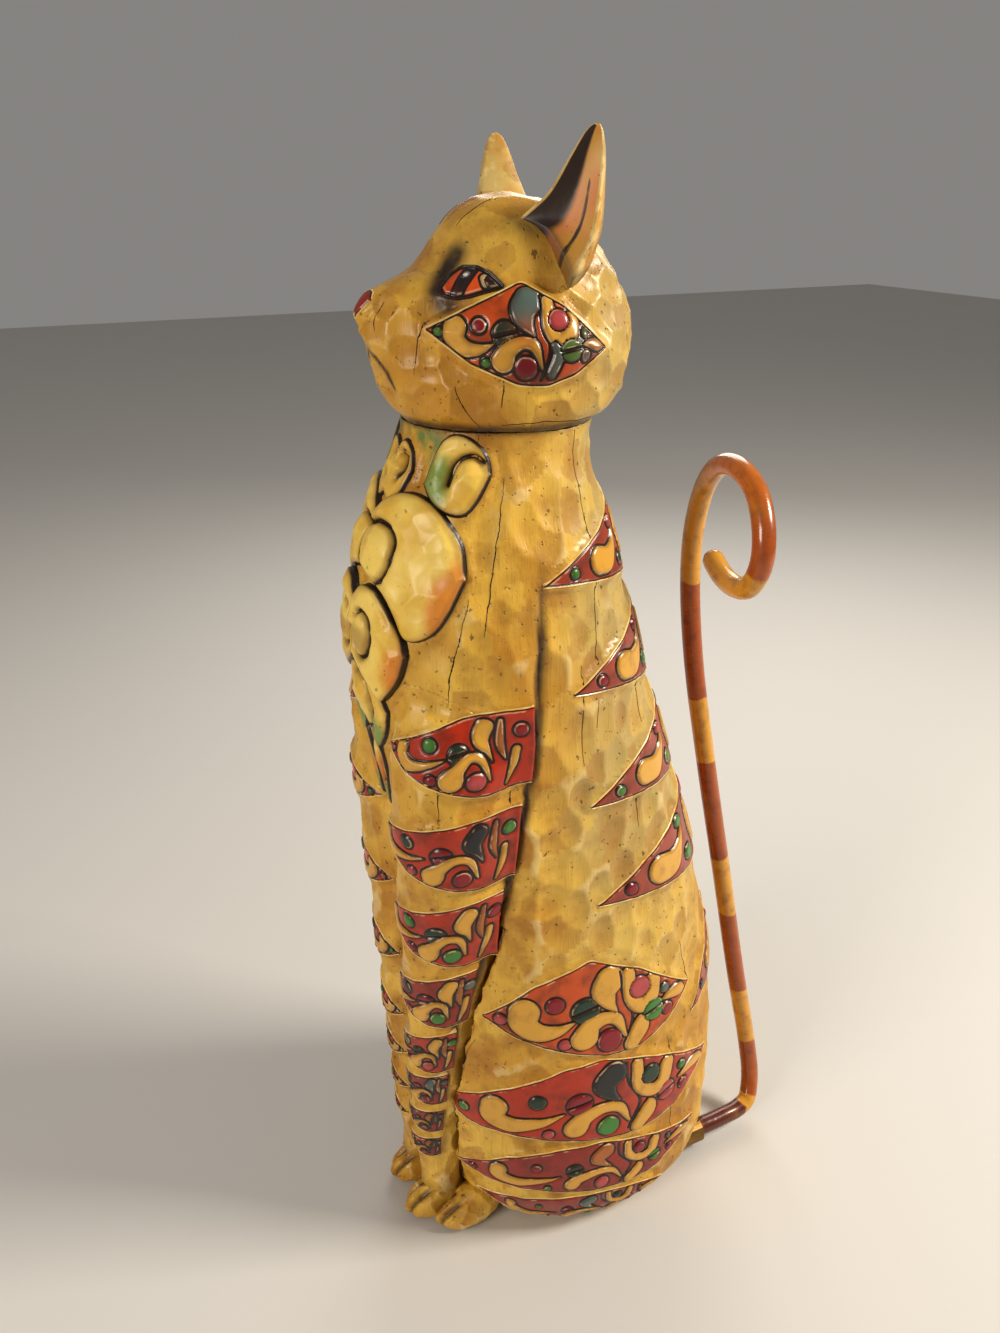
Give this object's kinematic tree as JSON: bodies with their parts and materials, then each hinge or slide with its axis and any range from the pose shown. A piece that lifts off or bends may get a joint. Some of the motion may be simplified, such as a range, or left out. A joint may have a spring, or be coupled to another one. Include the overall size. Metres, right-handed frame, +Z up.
{
  "type": "carved cat figure",
  "caption": "Tall seated cat carved in wood, with relief-painted bands, chest scrolls and a bent metal rod tail that plugs into its back; stands on its flat base as an ornament.",
  "frame": {"origin": "centre of the flat face that the figure sits on", "axes": "+Z up, -Y the way the cat looks, +X to the cat's left"},
  "size_m": [0.126, 0.2254, 0.5158],
  "materials": {
    "carved_wood": "gouge-carved wood under worn ochre paint and wax",
    "banded_leg_wood": "carved wood with red relief-painted bands, satin varnish",
    "scroll_wood": "carved scrolls in pale ochre, orange and green washes",
    "dowel_wood": "plain turned dowel",
    "tail_brass": "plain brass tube",
    "tail_paint": "glossy paint in yellow, orange and red-brown bands"
  },
  "bodies": {
    "figure": {"torso_block": "carved_wood", "head_block": "carved_wood", "neck_dowel_front": "dowel_wood", "neck_dowel_rear": "dowel_wood", "tail_ferrule": "tail_brass", "ear_left": "carved_wood", "foreleg_left": "banded_leg_wood", "front_paw_left": "carved_wood", "hind_paw_left": "carved_wood", "neck_scroll_front_left": "scroll_wood", "neck_scroll_side_left": "scroll_wood", "chest_scroll_upper_left": "scroll_wood", "chest_scroll_middle_left": "scroll_wood", "chest_scroll_lower_left": "scroll_wood", "chest_drop_left": "scroll_wood", "ear_right": "carved_wood", "foreleg_right": "banded_leg_wood", "front_paw_right": "carved_wood", "hind_paw_right": "carved_wood", "neck_scroll_front_right": "scroll_wood", "neck_scroll_side_right": "scroll_wood", "chest_scroll_upper_right": "scroll_wood", "chest_scroll_middle_right": "scroll_wood", "chest_scroll_lower_right": "scroll_wood", "chest_drop_right": "scroll_wood"},
    "tail_collar": {"tail_bush": "tail_brass"},
    "tail": {"tail_rod": "tail_paint"}
  },
  "joints": [
    {"name": "tail_pull", "type": "slide", "parent": "figure", "child": "tail_collar", "axis": [0, 1, 0], "range_m": [0, 0.03]},
    {"name": "tail_swivel", "type": "hinge", "parent": "tail_collar", "child": "tail", "pos_m": [0.038, 0.06, 0.01], "axis": [0, 1, 0], "range_deg": [-70, 70]}
  ]
}
